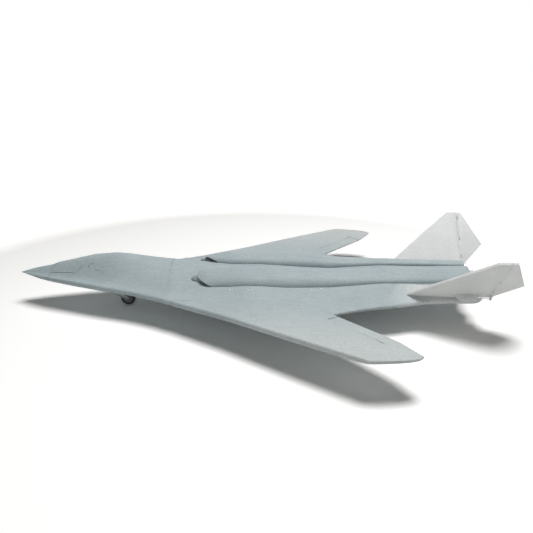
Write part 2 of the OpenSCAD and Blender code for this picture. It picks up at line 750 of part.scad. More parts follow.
module wheel(radius, width, bore) {
    rim = radius * 0.56;
    rotate([90, 0, 0]) rotate_extrude($fn = 72) {
        polygon([[bore, -width / 2], [bore + 2, -width / 2], [bore + 2, -width * 0.28],
                 [rim - 1.5, -width * 0.28], [rim - 1.5, -width * 0.42], [rim, -width * 0.42],
                 [rim, width * 0.42], [rim - 1.5, width * 0.42], [rim - 1.5, width * 0.28],
                 [bore + 2, width * 0.28], [bore + 2, width / 2], [bore, width / 2]]);
        intersection() {
            translate([radius - width * 0.5, 0]) circle(d = width);
            translate([rim, -width / 2]) square([radius, width]);
        }
        translate([rim, -width * 0.42]) square([radius - width * 0.5 - rim, width * 0.84]);
    }
}

module nose_wheel() {
    color(carbon) frame_shift() translate([nose_axle_station, 0, nose_wheel_d / 2])
        wheel(nose_wheel_d / 2, 9.6, axle_r + pin_gap);
}

module main_leg(side) {
    axle_z = main_wheel_d / 2;
    block_z = 47.5;
    color(steel) frame_shift() on_side(side) {
        translate([main_station - 10, main_leg_y - 10, block_z]) cube([20, 20, 8]);
        translate([main_station, main_leg_y, axle_z - 4]) cylinder(h = block_z - axle_z + 4.5, r = 3);
        translate([main_station, main_wheel_y + 9, axle_z]) rotate([90, 0, 0])
            cylinder(h = main_wheel_y + 9 - main_leg_y, r = main_axle_r);
        translate([main_station, main_wheel_y + 9, axle_z]) rotate([90, 0, 0])
            cylinder(h = 1.6, r = 3.4);
    }
}

module main_wheel(side) {
    color(carbon) frame_shift() on_side(side)
        translate([main_station, main_wheel_y, main_wheel_d / 2])
        wheel(main_wheel_d / 2, wheel_width, main_axle_r + pin_gap);
}

module gear_screws() {
    color(steel) frame_shift() for (x = [-11, 11], y = [-10.7, 10.7])
        translate([steer_station + x, y, mount_floor]) {
            translate([0, 0, 0.5]) cylinder(h = 3, r = 0.85);
            translate([0, 0, 3]) cylinder(h = 1, r = 1.5);
        }
}

nose_cone();
nose_former();
canopy_hatch();
forward_belly_pan();
canopy_former();
center_deck();
center_belly();
spar_carrier();
wing_joiner_tube();
fan_bulkhead();
nacelle_cover(left);  // left_nacelle_cover
nacelle_cover(right);  // right_nacelle_cover
inlet_cone(left);  // left_inlet_cone
inlet_cone(right);  // right_inlet_cone
fan_housing(left);  // left_fan_housing
fan_housing(right);  // right_fan_housing
fan_rotor(left);  // left_fan_rotor
fan_rotor(right);  // right_fan_rotor
fan_motors();
thrust_tube(left);  // left_thrust_tube
thrust_tube(right);  // right_thrust_tube
speed_controllers();
battery_pack();
battery_tray();
receiver();
wing_panel(left);  // left_wing_panel
wing_panel(right);  // right_wing_panel
elevon(left);  // left_elevon
elevon(right);  // right_elevon
elevon_horn(left);  // left_elevon_horn
elevon_horn(right);  // right_elevon_horn
hinge_wires();
wing_servos();
elevon_servo_arm(left);  // left_elevon_servo_arm
elevon_servo_arm(right);  // right_elevon_servo_arm
elevon_pushrod(left);  // left_elevon_pushrod
elevon_pushrod(right);  // right_elevon_pushrod
tail_boom(left);  // left_tail_boom
tail_boom(right);  // right_tail_boom
tail_fin(left);  // left_tail_fin
tail_fin(right);  // right_tail_fin
ruddervator(left);  // left_ruddervator
ruddervator(right);  // right_ruddervator
ruddervator_horn(left);  // left_ruddervator_horn
ruddervator_horn(right);  // right_ruddervator_horn
tail_servos();
tail_servo_arm(left);  // left_tail_servo_arm
tail_servo_arm(right);  // right_tail_servo_arm
tail_pushrod(left);  // left_tail_pushrod
tail_pushrod(right);  // right_tail_pushrod
actuator_fairings();
nose_gear_mount();
gear_screws();
steering_servo();
nose_leg();
nose_wheel();
main_leg(left);  // left_main_leg
main_leg(right);  // right_main_leg
main_wheel(left);  // left_main_wheel
main_wheel(right);  // right_main_wheel
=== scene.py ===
import json
import math

import bmesh
import bpy
import numpy as np
from mathutils import Matrix, Vector, noise


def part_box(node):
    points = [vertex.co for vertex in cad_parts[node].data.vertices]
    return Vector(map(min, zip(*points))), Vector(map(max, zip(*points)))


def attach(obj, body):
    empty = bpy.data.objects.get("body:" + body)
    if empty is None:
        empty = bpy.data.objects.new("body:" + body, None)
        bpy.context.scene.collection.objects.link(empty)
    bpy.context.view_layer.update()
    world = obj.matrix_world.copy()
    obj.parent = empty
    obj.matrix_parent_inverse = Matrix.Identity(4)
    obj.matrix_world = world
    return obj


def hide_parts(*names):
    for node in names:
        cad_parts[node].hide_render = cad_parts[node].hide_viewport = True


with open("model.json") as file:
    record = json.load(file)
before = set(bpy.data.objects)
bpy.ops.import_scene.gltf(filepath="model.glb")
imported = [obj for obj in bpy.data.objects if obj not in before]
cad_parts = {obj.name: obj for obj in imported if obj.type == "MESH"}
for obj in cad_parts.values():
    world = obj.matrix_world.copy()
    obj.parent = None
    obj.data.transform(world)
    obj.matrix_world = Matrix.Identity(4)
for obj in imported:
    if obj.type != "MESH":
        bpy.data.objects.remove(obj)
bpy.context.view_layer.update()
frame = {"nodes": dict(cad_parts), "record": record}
MM = 0.001
HALF_LENGTH = 480.0
SIDES = {"left": -1.0, "right": 1.0}


# ---- Camera ---------------------------------------------------------------------
def make_camera():
    data = bpy.data.cameras.new("camera")
    data.lens = 36.47
    data.sensor_width = 36.0
    camera = bpy.data.objects.new("camera", data)
    bpy.context.scene.collection.objects.link(camera)
    camera.location = (0.0756, -1.013, 0.458)
    aim = Vector((-0.0482, 0.9385, -0.3420))
    camera.rotation_euler = aim.to_track_quat("-Z", "Y").to_euler()
    bpy.context.scene.camera = camera


make_camera()


# ---- Lines of the airframe, in millimetres ------------------------------------------
def soft_line(points, soft=16.0):
    """A curve through control points whose corners are rounded over the length soft."""
    at, value = zip(*points)
    step = 0.5
    fine = np.arange(at[0], at[-1] + step / 2, step)
    raw = np.interp(fine, at, value)
    reach = max(1, int(soft / step / 2))
    kernel = np.hanning(2 * reach + 3)[1:-1]
    padded = np.pad(raw, reach, mode="reflect", reflect_type="odd")
    smooth = np.convolve(padded, kernel / kernel.sum(), "valid")
    return lambda x: float(np.interp(x, fine, smooth))


ROOT = 125.0
WING_HEIGHT = 59.0
DIHEDRAL = 0.05
SKIN = 1.6
edge = soft_line([(0, 0.6), (20, 11), (45, 24), (80, 37), (127, 52), (190, 72), (250, 88),
                  (302, 108), (336, ROOT), (713, ROOT), (755, 113), (800, 97), (850, 92),
                  (912, 89)])
center_edge = soft_line([(0, 1), (336, ROOT), (713, ROOT), (755, 60), (905, 58), (912, 58)], 2)
spine = soft_line([(0, 68.6), (29, 77.5), (63, 84.5), (69, 86), (80, 91), (115, 99),
                   (157, 109), (178, 111), (202, 113), (229, 111), (269, 105), (321, 98),
                   (380, 91), (430, 87), (490, 88), (571, 84), (630, 82.5), (728, 92),
                   (903, 94), (912, 94)])
keel = soft_line([(0, 67.4), (20, 62), (64, 52), (127, 44), (200, 38), (316, 33), (700, 33),
                  (800, 42), (905, 50), (912, 51)])
chine = soft_line([(0, 68), (127, 66), (316, 60), (400, WING_HEIGHT), (912, WING_HEIGHT)])
nose_edge = soft_line([(0, 0.5), (45, 3), (127, 4), (336, 4.8)])
boom_edge = soft_line([(713, 2.5), (755, 3), (912, 3.5)])
narrow_spine = soft_line([(0, 1), (380, 1), (470, 0), (912, 0)], 30)
leading = soft_line([(125, 336), (133, 350), (190, 445), (229, 501), (277, 572), (328, 649),
                     (337, 665)], 8)
trailing = soft_line([(125, 713), (134, 686), (147, 657), (163, 627), (269, 722), (316, 748),
                      (324, 741), (330, 726), (334, 705), (337, 672)], 4)
wing_most = soft_line([(125, 11.5), (163, 9.4), (206, 7.6), (277, 5.8), (328, 4.9), (337, 3.6)])
wing_lead = soft_line([(125, 4.8), (277, 5), (328, 4.4), (337, 3.2)])
wing_trail = soft_line([(125, 2.5), (163, 1.7), (300, 1.5), (337, 2.2)])
THICKEST = 0.35
TIP = 337.0
PATCH_MIDDLE = 748.0
PATCH_SPREAD = 24.0
PATCH_HEIGHT = 0.9


def wing_half(q, y):
    most, lead, trail = wing_most(y), wing_lead(y), wing_trail(y)
    if q < THICKEST:
        return lead + (most - lead) * math.sin(math.pi / 2 * q / THICKEST)
    return most + (trail - most) * ((q - THICKEST) / (1 - THICKEST)) ** 1.3


def edge_half(s):
    if s <= 336:
        return nose_edge(s)
    if s <= 713:
        return wing_half((s - 336) / 377, ROOT)
    return boom_edge(s)


def spine_shape(r, s):
    narrow = narrow_spine(s)
    bell = 0.5 + 0.5 * math.cos(math.pi * min(r / 0.85, 1))
    return narrow * bell + (1 - narrow) * (1 - min(r, 1) ** 1.6)


def top_z(y, s):
    base = chine(s) + edge_half(s)
    return base + (spine(s) - base) * spine_shape(abs(y) / edge(s), s)


def belly_z(y, s):
    base = chine(s) - edge_half(s)
    return base + (keel(s) - base) * (1 - min(abs(y) / edge(s), 1) ** 2.2)


def edge_round(y, s):
    """How far the skin turns in at the chine, which has a half-round edge off the wing."""
    if 336 < s < 713:
        return 0.0
    radius = edge_half(s)
    inside = max(edge(s) - abs(y), 0.0)
    if inside >= radius or radius <= 0:
        return 0.0
    return radius - math.sqrt(max(radius ** 2 - (radius - inside) ** 2, 0.0))


def upper_z(y, s):
    return top_z(y, s) - edge_round(y, s)


def lower_z(y, s):
    return belly_z(y, s) + edge_round(y, s)


def rough_patch(s, y):
    """Small unevenness where the moulding is rough, ahead of the tails."""
    fade = math.exp(-((s - PATCH_MIDDLE) / PATCH_SPREAD) ** 2)
    if fade < 0.01:
        return 0.0
    return PATCH_HEIGHT * fade * noise.noise(Vector((s / 6.0, y / 5.0, 0.3)))


def place(s, y, z):
    return Vector(((s - HALF_LENGTH) * MM, y * MM, z * MM))


# ---- Meshes ----------------------------------------------------------------------------
def shaped_grid(across, along, shape):
    """A grid of unit size whose points are moved to shape(u, v)."""
    bm = bmesh.new()
    bmesh.ops.create_grid(bm, x_segments=across, y_segments=along, size=0.5)
    for vert in bm.verts:
        vert.co = shape(vert.co.x + 0.5, vert.co.y + 0.5)
    bmesh.ops.remove_doubles(bm, verts=bm.verts, dist=2e-6)
    return bm


def close_ends(bm):
    open_edges = [e for e in bm.edges if e.is_boundary]
    bmesh.ops.holes_fill(bm, edges=open_edges, sides=0)
    bmesh.ops.recalc_face_normals(bm, faces=bm.faces)


def face_way(bm, way):
    """Turns an open sheet so that its faces point mostly along way."""
    bm.normal_update()
    total = sum((f.normal * f.calc_area() for f in bm.faces), Vector())
    if total.dot(Vector(way)) < 0:
        bmesh.ops.reverse_faces(bm, faces=bm.faces)


def smooth_by_angle(mesh, degrees=38):
    mesh.shade_smooth()
    limit = math.radians(degrees)
    bm = bmesh.new()
    bm.from_mesh(mesh)
    for e in bm.edges:
        e.smooth = not (len(e.link_faces) == 2 and e.calc_face_angle(0) > limit)
    bm.to_mesh(mesh)
    bm.free()


def new_piece(name, bm, body, materials, nodes=()):
    mesh = bpy.data.meshes.new(name)
    bm.to_mesh(mesh)
    bm.free()
    smooth_by_angle(mesh)
    piece = bpy.data.objects.new(name, mesh)
    bpy.context.scene.collection.objects.link(piece)
    for material in materials:
        mesh.materials.append(material)
    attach(piece, body)
    if nodes:
        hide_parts(*nodes)
    return piece


def apply_modifiers(piece):
    depsgraph = bpy.context.evaluated_depsgraph_get()
    mesh = bpy.data.meshes.new_from_object(piece.evaluated_get(depsgraph))
    piece.modifiers.clear()
    piece.data = mesh


def thicken(piece, wall=SKIN * MM, rim=0.00018):
    solid = piece.modifiers.new("wall", "SOLIDIFY")
    solid.thickness = wall
    solid.offset = -1
    soften = piece.modifiers.new("rim", "BEVEL")
    soften.width = rim
    soften.segments = 2
    soften.limit_method = "ANGLE"
    soften.angle_limit = math.radians(55)
    apply_modifiers(piece)
    smooth_by_angle(piece.data)


def combine(piece, other_bm, operation):
    """Cuts other_bm from a piece or joins it on, and frees it."""
    bmesh.ops.recalc_face_normals(other_bm, faces=other_bm.faces)
    mesh = bpy.data.meshes.new("operand")
    other_bm.to_mesh(mesh)
    other_bm.free()
    operand = bpy.data.objects.new("operand", mesh)
    bpy.context.scene.collection.objects.link(operand)
    boolean = piece.modifiers.new("boolean", "BOOLEAN")
    boolean.operation = operation
    boolean.solver = "MANIFOLD"
    boolean.object = operand
    apply_modifiers(piece)
    bpy.data.objects.remove(operand)
    smooth_by_angle(piece.data)


def cut_away(piece, cutter_bm):
    combine(piece, cutter_bm, "DIFFERENCE")


def join(piece, other_bm):
    combine(piece, other_bm, "UNION")


def block(bm, low, high, matrix=None):
    """Adds a box between two corners."""
    low, high = Vector(low), Vector(high)
    made = bmesh.ops.create_cube(bm, size=1.0)
    middle = (low + high) / 2
    size = high - low
    move = Matrix.Translation(middle) @ Matrix.Diagonal((*size, 1.0))
    bmesh.ops.transform(bm, matrix=(matrix or Matrix()) @ move, verts=made["verts"])


def rod(bm, start, end, radius, sides=24, matrix=None):
    """Adds a closed round bar from start to end."""
    start, end = Vector(start), Vector(end)
    way = end - start
    turn = way.to_track_quat("Z", "Y").to_matrix().to_4x4()
    made = bmesh.ops.create_cone(bm, cap_ends=True, segments=sides, radius1=radius,
                                 radius2=radius, depth=way.length)
    move = Matrix.Translation((start + end) / 2) @ turn
    bmesh.ops.transform(bm, matrix=(matrix or Matrix()) @ move, verts=made["verts"])


# ---- Materials ----------------------------------------------------------------------------
def group(name, inputs, outputs):
    tree = bpy.data.node_groups.new(name, "ShaderNodeTree")
    for label, kind, value in inputs:
        socket = tree.interface.new_socket(label, in_out="INPUT", socket_type=kind)
        socket.default_value = value
    for label, kind in outputs:
        tree.interface.new_socket(label, in_out="OUTPUT", socket_type=kind)
    return tree, tree.nodes.new("NodeGroupInput"), tree.nodes.new("NodeGroupOutput")


def add(tree, kind, inputs=None, **settings):
    node = tree.nodes.new(kind)
    for key, value in settings.items():
        setattr(node, key, value)
    for key, value in (inputs or {}).items():
        if isinstance(value, bpy.types.NodeSocket):
            tree.links.new(value, node.inputs[key])
        else:
            node.inputs[key].default_value = value
    return node


def build_grain_group():
    """Fine speckle and lengthwise streaks, as a mask and as a height."""
    tree, ins, outs = group(
        "moulded_grain",
        [("Size", "NodeSocketFloat", 420.0), ("Streak", "NodeSocketFloat", 0.35)],
        [("Mask", "NodeSocketFloat"), ("Height", "NodeSocketFloat")])
    where = add(tree, "ShaderNodeTexCoord")
    fine = add(tree, "ShaderNodeTexNoise", {"Vector": where.outputs["Object"],
                                            "Scale": ins.outputs["Size"], "Detail": 4.0})
    along = add(tree, "ShaderNodeMapping", {"Vector": where.outputs["Object"],
                                            "Scale": (0.12, 1.0, 1.6)})
    streak = add(tree, "ShaderNodeTexNoise", {"Vector": along.outputs["Vector"],
                                              "Scale": 260.0, "Detail": 2.0})
    blend = add(tree, "ShaderNodeMix", {"Factor": ins.outputs["Streak"],
                                        "A": fine.outputs["Fac"], "B": streak.outputs["Fac"]})
    tree.links.new(blend.outputs["Result"], outs.inputs["Mask"])
    layers = add(tree, "ShaderNodeTexWave", {"Vector": where.outputs["Object"],
                                             "Scale": 380.0, "Distortion": 1.2},
                 bands_direction="Z")
    height = add(tree, "ShaderNodeMath", {0: layers.outputs["Fac"], 1: 0.25,
                                          2: fine.outputs["Fac"]}, operation="MULTIPLY_ADD")
    tree.links.new(height.outputs[0], outs.inputs["Height"])
    return tree


def build_cloud_group():
    """Broad soft patches of lighter and darker colour."""
    tree, ins, outs = group("broad_patches", [("Size", "NodeSocketFloat", 14.0)],
                            [("Mask", "NodeSocketFloat")])
    where = add(tree, "ShaderNodeTexCoord")
    clouds = add(tree, "ShaderNodeTexNoise", {"Vector": where.outputs["Object"],
                                              "Scale": ins.outputs["Size"], "Detail": 3.0})
    spread = add(tree, "ShaderNodeMapRange", {"Value": clouds.outputs["Fac"],
                                              "From Min": 0.3, "From Max": 0.7})
    tree.links.new(spread.outputs["Result"], outs.inputs["Mask"])
    return tree


def build_ramp_group(name, axis, start, end):
    """0 near the middle of the model, 1 beyond a distance from it along one axis."""
    tree, ins, outs = group(
        name, [("Start", "NodeSocketFloat", start), ("End", "NodeSocketFloat", end)],
        [("Mask", "NodeSocketFloat")])
    where = add(tree, "ShaderNodeTexCoord")
    split = add(tree, "ShaderNodeSeparateXYZ", {"Vector": where.outputs["Object"]})
    out = add(tree, "ShaderNodeMath", {0: split.outputs[axis]}, operation="ABSOLUTE")
    ramp = add(tree, "ShaderNodeMapRange", {"Value": out.outputs[0],
                                            "From Min": ins.outputs["Start"],
                                            "From Max": ins.outputs["End"]},
               interpolation_type="SMOOTHSTEP")
    tree.links.new(ramp.outputs["Result"], outs.inputs["Mask"])
    return tree


GRAIN = build_grain_group()
PATCHES = build_cloud_group()
# Painted light: the resin goes paler outboard, standing in for light shining through the thin outer wing.
PAINTED_LIGHT_OUTBOARD_RAMP = build_ramp_group("painted_light_outboard", "Y", 0.10, 0.33)
# Painted light: the booms go paler aft, lifting their shaded lower and outer sides.
PAINTED_LIGHT_AFT_RAMP = build_ramp_group("painted_light_booms", "X", 0.235, 0.345)


def use_group(tree, which, **values):
    node = tree.nodes.new("ShaderNodeGroup")
    node.node_tree = which
    for key, value in values.items():
        node.inputs[key].default_value = value
    return node


def start_material(name, roughness, metallic=0.0, coat=0.0, alpha=1.0):
    material = bpy.data.materials.new(name)
    material.use_nodes = True
    tree = material.node_tree
    shader = tree.nodes["Principled BSDF"]
    shader.inputs["Roughness"].default_value = roughness
    shader.inputs["Metallic"].default_value = metallic
    shader.inputs["Coat Weight"].default_value = coat
    shader.inputs["Alpha"].default_value = alpha
    return material, tree, shader


def tint(tree, factor, low, high):
    return add(tree, "ShaderNodeMix", {"Factor": factor, 6: (*low, 1.0), 7: (*high, 1.0)},
               data_type="RGBA").outputs[2]


def rough_and_bump(tree, shader, grain, base, spread, distance, strength=0.5):
    rough = add(tree, "ShaderNodeMath", {0: grain.outputs["Mask"], 1: spread,
                                         2: base - spread / 2}, operation="MULTIPLY_ADD")
    tree.links.new(rough.outputs[0], shader.inputs["Roughness"])
    bump = add(tree, "ShaderNodeBump", {"Height": grain.outputs["Height"],
                                        "Distance": distance, "Strength": strength})
    tree.links.new(bump.outputs["Normal"], shader.inputs["Normal"])


def resin(name, dark, light, pale, alpha=1.0, rough=0.6, glow=0.0, ramp=PAINTED_LIGHT_OUTBOARD_RAMP, mottle=0.12):
    """Matt moulded resin: patchy, finely grained, going to a paler colour along a ramp. That paler colour is
    painted light: light through thin resin outboard, or light on the booms' shaded sides.
    """
    material, tree, shader = start_material(name, rough, alpha=alpha)
    shader.inputs["Subsurface Weight"].default_value = glow
    shader.inputs["Subsurface Scale"].default_value = 0.004
    shader.inputs["Subsurface Radius"].default_value = (1.0, 1.0, 0.95)
    patches = use_group(tree, PATCHES, Size=11.0)
    grain = use_group(tree, GRAIN, Size=380.0, Streak=0.3)
    span = use_group(tree, ramp)
    body = tint(tree, patches.outputs["Mask"], dark, light)
    base = add(tree, "ShaderNodeMix", {"Factor": span.outputs["Mask"], 6: body,
                                       7: (*pale, 1.0)}, data_type="RGBA").outputs[2]
    speck = add(tree, "ShaderNodeMapRange", {"Value": grain.outputs["Mask"],
                                             "From Min": 0.36, "From Max": 0.64,
                                             "To Min": 1 - mottle, "To Max": 1 + mottle})
    color = add(tree, "ShaderNodeVectorMath", {0: base, "Scale": speck.outputs["Result"]},
                operation="SCALE")
    tree.links.new(color.outputs["Vector"], shader.inputs["Base Color"])
    rough_and_bump(tree, shader, grain, rough, 0.16, 0.0005, 0.45)
    return material


def moulded(name, low, high, rough, metallic=0.0, coat=0.0, size=600.0, spread=0.15):
    """Plastic, rubber or metal with a fine mottle between two colours."""
    material, tree, shader = start_material(name, rough, metallic, coat)
    grain = use_group(tree, GRAIN, Size=size, Streak=0.5)
    color = tint(tree, grain.outputs["Mask"], low, high)
    tree.links.new(color, shader.inputs["Base Color"])
    rough_and_bump(tree, shader, grain, rough, spread, 0.0002, 0.3)
    return material


# The body resin goes paler outboard along its ramp: painted light, for light through the thin wing.
SKIN_RESIN = resin("blue_grey_resin", (0.355, 0.42, 0.44), (0.42, 0.485, 0.50),
                   (0.53, 0.565, 0.56), glow=0.25)
# The boom resin goes paler aft: painted light on the booms' shaded sides, not a colour of the resin.
BOOM_PAINTED_LIGHT_RESIN = resin("boom_painted_light_resin", (0.355, 0.42, 0.44), (0.42, 0.485, 0.50),
                   (0.66, 0.68, 0.675), glow=0.25, ramp=PAINTED_LIGHT_AFT_RAMP)
# A darker copy of the resin for the inlet cones: painted shade, for the shade under the intake lips.
PAINTED_SHADE_CONE_RESIN = resin("painted_shade_cone_resin", (0.27, 0.30, 0.30), (0.33, 0.36, 0.36),
                    (0.33, 0.36, 0.36))
# The tail resin is partly see-through (alpha); its pale colour is painted light, for light shining through
# the thin fins.
TAIL_PAINTED_LIGHT_RESIN = resin("tail_resin_painted_light", (0.76, 0.775, 0.765), (0.83, 0.845, 0.835),
                   (0.83, 0.845, 0.835), alpha=0.88, glow=0.3, mottle=0.05)
# Pale, glossier resin for the small drops: painted highlight, for bright specks on the skin.
HIGHLIGHT_DROP_RESIN = resin("painted_highlight_resin", (0.78, 0.80, 0.80), (0.88, 0.90, 0.90),
                   (0.88, 0.90, 0.90), rough=0.3)
NYLON = moulded("black_nylon", (0.035, 0.037, 0.04), (0.07, 0.072, 0.078), 0.55)
WHITE_NYLON = moulded("white_nylon", (0.72, 0.72, 0.70), (0.82, 0.82, 0.80), 0.45)
SERVO_CASE = moulded("servo_case", (0.03, 0.07, 0.17), (0.05, 0.11, 0.25), 0.32, coat=0.2)
STEEL = moulded("drawn_steel", (0.50, 0.51, 0.53), (0.62, 0.63, 0.65), 0.32, metallic=1.0)
MOTOR_CAN = moulded("turned_can", (0.38, 0.39, 0.41), (0.5, 0.51, 0.53), 0.35, metallic=1.0)
ALLOY = moulded("thin_alloy", (0.52, 0.53, 0.55), (0.66, 0.67, 0.69), 0.4, metallic=1.0)
CARBON = moulded("carbon_tube", (0.015, 0.015, 0.018), (0.05, 0.05, 0.055), 0.3, coat=0.4)
BATTERY_WRAP = moulded("battery_wrap", (0.05, 0.10, 0.27), (0.08, 0.15, 0.38), 0.3, coat=0.3)
BOARD_WRAP = moulded("board_wrap", (0.03, 0.055, 0.045), (0.05, 0.085, 0.07), 0.4)
RUBBER = moulded("foam_rubber", (0.05, 0.05, 0.05), (0.085, 0.085, 0.085), 0.85, size=900.0)
HUB = moulded("wheel_hub", (0.16, 0.165, 0.165), (0.22, 0.225, 0.225), 0.45)


# ---- Body skins --------------------------------------------------------------------------------
RIM = 12.0


def deck_z(y, s):
    """The upper skin, with its rough patch kept away from the rim."""
    inner = min(1.0, max(0.0, (edge(s) - abs(y)) / RIM))
    return upper_z(y, s) + inner * rough_patch(s, y)


def body_skin(name, node, body, reach, half, height, way, grid):
    """A thick sheet of the body's outer form between two stations."""
    front, back = reach

    def shape(u, v):
        s = front + (back - front) * v
        y = half(s) * math.sin(math.pi / 2 * (2 * u - 1))
        return place(s, y, height(y, s))
    bm = shaped_grid(*grid, shape)
    face_way(bm, (0, 0, way))
    piece = new_piece(name, bm, body, [SKIN_RESIN], [node])
    thicken(piece)
    return piece


def make_nose_cone():
    def shape(u, v):
        s = 66.0 * v ** 1.4
        turn = 2 * math.pi * u
        y = edge(s) * math.cos(turn)
        return place(s, y, upper_z(y, s) if math.sin(turn) >= 0 else lower_z(y, s))
    bm = shaped_grid(128, 60, shape)
    close_ends(bm)
    new_piece("nose_cone_skin", bm, "airframe", [SKIN_RESIN], ["nose_cone"])


CANOPY_FRAME = [[(70.5, 19), (95, 23.5), (119, 27.5)], [(120, 31), (132, 24), (145, 15.8)],
                [(145, 15.8), (150, 25), (158, 19), (164, 30), (176, 33)],
                [(71, 17), (74, 9), (79, 0)], [(145, 15.8), (147, 8), (148, 0)]]


def scribe_canopy(canopy):
    """Cuts the shallow lines of the canopy frame, the same on both sides."""
    for side in SIDES.values():
        for path in CANOPY_FRAME:
            cutter = bmesh.new()
            for (s0, y0), (s1, y1) in zip(path, path[1:]):
                start = place(s0, side * y0, top_z(y0, s0) + 0.3)
                end = place(s1, side * y1, top_z(y1, s1) + 0.3)
                rod(cutter, start, end, 1.1 * MM, 10)
            cut_away(canopy, cutter)


def make_highlight_drops():
    """Tiny pale raised drops beside the nacelles: painted highlights, for bright specks on the skin."""
    for number, (s, y, r) in enumerate([(440.5, -91.7, 1.5), (444.5, -92.5, 0.9),
                                        (474, -94.2, 1.2), (480, -94.8, 1.4),
                                        (592, -83.7, 1.4), (598, -85, 0.8),
                                        (609, -78.5, 1.6), (770, -73.7, 1.5)]):
        bm = bmesh.new()
        bmesh.ops.create_icosphere(bm, subdivisions=3, radius=r * MM)
        squash = Matrix.Translation(place(s, y, top_z(y, s))) @ Matrix.Diagonal((1.5, 1, 0.7, 1))
        bmesh.ops.transform(bm, matrix=squash, verts=bm.verts)
        new_piece("painted_highlight_drop_%d" % (number + 1), bm, "airframe", [HIGHLIGHT_DROP_RESIN])


HATCH = (69.3, 315.7)
BELLY_PAN = (69.1, 316.0)
CENTER = (319.0, 895.0)
LEG_STATION = 590
LEG_OUT = 84
LEG_HOLE = 3.4


def make_body():
    make_nose_cone()
    canopy = body_skin("canopy_skin", "canopy_hatch", "canopy_hatch", HATCH, edge, deck_z, 1,
                       (120, 130))
    scribe_canopy(canopy)
    make_highlight_drops()
    body_skin("belly_pan_skin", "forward_belly_pan", "airframe", BELLY_PAN, edge, lower_z, -1,
              (90, 100))
    deck = body_skin("deck_skin", "center_deck", "airframe", CENTER, center_edge, deck_z, 1,
                     (120, 240))
    for side in SIDES.values():
        cut_away(deck, nacelle_cutter(side))
    belly = body_skin("belly_skin", "center_belly", "airframe", CENTER, center_edge, lower_z, -1,
                      (90, 160))
    for side in SIDES.values():
        hole = bmesh.new()
        rod(hole, place(LEG_STATION, side * LEG_OUT, 20), place(LEG_STATION, side * LEG_OUT, 56),
            LEG_HOLE * MM)
        cut_away(belly, hole)


# ---- Nacelles ------------------------------------------------------------------------------------
nacelle_y = soft_line([(373, 50), (546, 50), (905, 25)])
nacelle_half = soft_line([(373, 24), (388, 27), (440, 30.5), (546, 30.5), (640, 26),
                          (700, 24.5), (905, 22.4)])
nacelle_crest = soft_line([(373, 89.5), (379, 93), (388, 96), (402, 98.5), (420, 99.8),
                           (479, 101), (546, 101), (620, 97.5), (668, 96.5), (728, 97),
                           (800, 98.2), (905, 99.5)], 8)
arch_power = soft_line([(373, 1), (546, 1), (640, 0.8), (800, 0.6), (905, 0.6)])
mouth_lean = soft_line([(373, 31), (388, 20), (440, 0), (905, 0)], 6)
SEAT_GAP = 0.4


def nacelle_cutter(side):
    """A tall block that follows a nacelle's plan, a little inside its feet."""
    ledge = 1.8

    def shape(u, v):
        s = 432.0 + (915.0 - 432.0) * v
        y = nacelle_y(min(s, 905)) + (nacelle_half(min(s, 905)) - ledge) * (2 * u - 1)
        return place(s, side * y, 60)
    bm = shaped_grid(1, 40, shape)
    sheet = bm.faces[:]
    raised = bmesh.ops.extrude_face_region(bm, geom=sheet)
    top = [g for g in raised["geom"] if isinstance(g, bmesh.types.BMVert)]
    bmesh.ops.translate(bm, verts=top, vec=(0, 0, 0.06))
    bmesh.ops.recalc_face_normals(bm, faces=bm.faces)
    return bm


def make_nacelle(label, side):
    def shape(u, v):
        turn = math.pi * u
        s0 = 373.0 + (893.0 - 373.0) * v ** 1.15
        s = s0 + mouth_lean(s0) * (1 - math.sin(turn))
        y = nacelle_y(s) - nacelle_half(s) * math.cos(turn)
        rise = nacelle_crest(s) - SEAT_GAP - top_z(nacelle_y(s), s)
        lift = rise * math.sin(turn) ** arch_power(s)
        return place(s, side * y, top_z(y, s) + SEAT_GAP + lift + rough_patch(s, side * y + 9))
    bm = shaped_grid(72, 240, shape)
    face_way(bm, (0, 0, 1))
    piece = new_piece(label + "_nacelle_skin", bm, "airframe", [SKIN_RESIN],
                      [label + "_nacelle_cover"])
    thicken(piece, rim=0.0006)


cone_radius = soft_line([(361, 0.5), (363, 3.4), (367, 5.6), (374, 7.2), (386, 9.2),
                         (402, 10.5)], 3)


def make_inlet_cone(label, side):
    middle = 53.0

    def shape(u, v):
        s = 361.0 + 41.0 * v ** 1.5
        r = cone_radius(s)
        turn = 2 * math.pi * u
        y = middle - r * math.cos(turn)
        lift = r * math.sin(turn) if math.sin(turn) > 0 else 0.0
        return place(s, side * y, top_z(y, s) + SEAT_GAP + lift)
    bm = shaped_grid(64, 44, shape)
    close_ends(bm)
    # The cone takes the darker resin: painted shade under the intake lip.
    new_piece(label + "_inlet_cone_skin", bm, "airframe", [PAINTED_SHADE_CONE_RESIN],
              [label + "_inlet_cone"])


# ---- Wing panels and elevons -------------------------------------------------------------------------
TE_SWEEP = math.atan2(95, 106)
ELEVON_CHORD = 26.0
ELEVON_HALF = 60.0
hinge_out = Vector((math.sin(TE_SWEEP), math.cos(TE_SWEEP)))
hinge_mid = (Vector((627, 163)) + 72 * hinge_out
             + ELEVON_CHORD * Vector((-math.cos(TE_SWEEP), math.sin(TE_SWEEP))))
WING_TILT = math.atan(DIHEDRAL)


def wing_z(y):
    return WING_HEIGHT + DIHEDRAL * (y - ROOT)


def elevon_axes(side):
    """Local axes of an elevon's hinge in metres: X aft, Y out along the hinge, Z up."""
    move = Matrix.Translation(place(hinge_mid.x, hinge_mid.y, wing_z(hinge_mid.y)))
    turn = Matrix.Rotation(WING_TILT, 4, "X") @ Matrix.Rotation(-TE_SWEEP, 4, "Z")
    return Matrix.Diagonal((1, side, 1, 1)) @ move @ turn @ Matrix.Scale(MM, 4)


